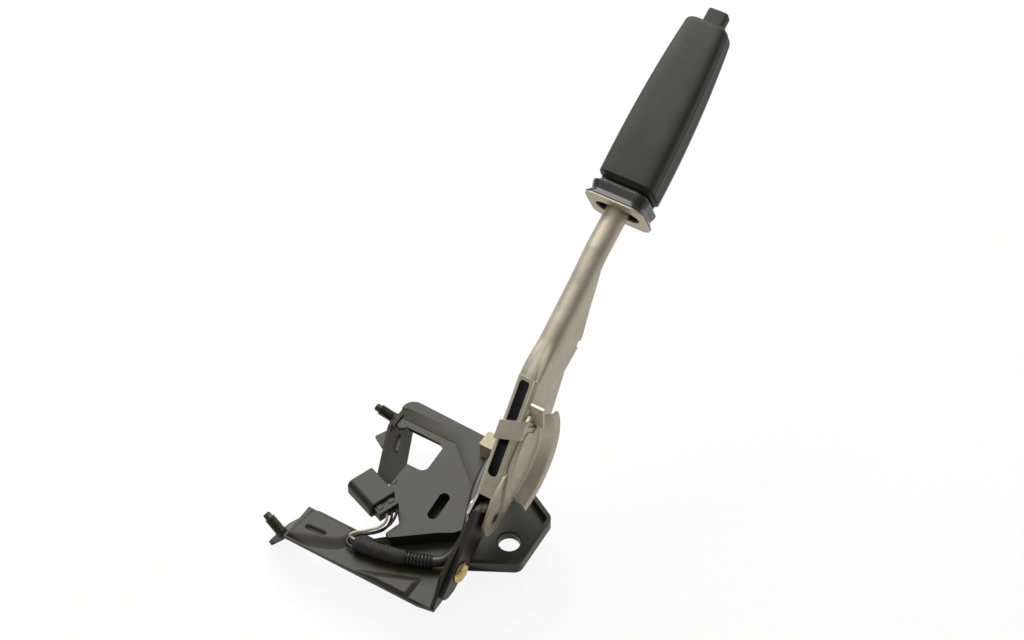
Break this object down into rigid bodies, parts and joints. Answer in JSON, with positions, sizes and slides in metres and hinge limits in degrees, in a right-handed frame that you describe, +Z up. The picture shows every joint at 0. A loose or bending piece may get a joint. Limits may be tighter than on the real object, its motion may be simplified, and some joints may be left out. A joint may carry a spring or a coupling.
{
  "type": "parking brake lever",
  "caption": "Floor-mounted parking brake lever with ratchet, release button, cable guide, warning switch and short wiring lead on a stamped bracket.",
  "frame": {"origin": "centre of the floor bolt hole at the lower rim of its collar", "axes": "+Z up along the bolt, +X forwards in the direction in which the lever points, +Y to the left, towards the studs"},
  "size_m": [0.3804, 0.1743, 0.2769],
  "materials": {
    "bracket_black": "black electrocoat with a soft olive-grey sheen",
    "lever_zinc": "satin warm grey zinc plating",
    "sector_dark": "dark phosphated steel",
    "stud_dark": "dark threaded steel",
    "rivet_yellow": "yellow zinc plating",
    "pin_steel": "bright steel",
    "bush_bronze": "oiled bronze",
    "rod_steel": "drawn wire",
    "grip_black": "satin black moulding",
    "switch_ivory": "ivory moulding",
    "plunger_black": "black moulding",
    "connector_black": "matt black moulding",
    "wire_cream": "cream sleeve on a wire",
    "wire_black": "black sleeve on a wire",
    "tape_black": "cloth tape wound round the wires",
    "tube_black": "ribbed black tube"
  },
  "bodies": {
    "bracket": {"lower_bracket": "bracket_black", "upper_bracket": "bracket_black", "front_stud": "stud_dark", "rear_stud": "stud_dark", "ratchet_sector": "sector_dark", "sector_rivet": "rivet_yellow", "pivot_bush": "bush_bronze", "switch_body": "switch_ivory", "connector_housing": "connector_black", "connector_plug": "connector_black", "connector_clip": "connector_black", "pale_wire": "wire_cream", "dark_wires": "wire_black", "taped_sleeve": "tape_black", "ribbed_tube": "tube_black"},
    "lever": {"lever_arm": "lever_zinc", "pivot_pin": "pin_steel", "pawl_pin": "pin_steel", "cable_guide": "lever_zinc", "guide_rivets": "lever_zinc", "rod_guide": "grip_black", "return_spring": "rod_steel", "grip": "grip_black", "grip_collar": "grip_black", "grip_end_plate": "lever_zinc"},
    "button": {"push_button": "grip_black", "release_rod": "rod_steel", "rod_collar": "rod_steel"},
    "pawl": {"pawl": "pin_steel"},
    "plunger": {"switch_plunger": "plunger_black"}
  },
  "joints": [
    {"name": "lever_pivot", "type": "hinge", "parent": "bracket", "child": "lever", "pos_m": [-0.009, 0.014, 0.0395], "axis": [0, -1, 0], "range_deg": [0, 30]},
    {"name": "button_press", "type": "slide", "parent": "lever", "child": "button", "axis": [-0.8973, 0, -0.4415], "range_m": [0, 0.005], "stiffness_N_per_m": 1500, "springref_m": -0.003},
    {"name": "pawl_lift", "type": "hinge", "parent": "lever", "child": "pawl", "pos_m": [0.035, 0.012, 0.063], "axis": [0, -1, 0], "range_deg": [0, 20]},
    {"name": "switch_plunger", "type": "slide", "parent": "bracket", "child": "plunger", "axis": [0, 0, -1], "range_m": [0, 0.003], "stiffness_N_per_m": 300, "springref_m": -0.002}
  ],
  "couplings": [
    {"joint": "pawl_lift", "follows": "button_press", "rad_per_m": 69.8}
  ]
}
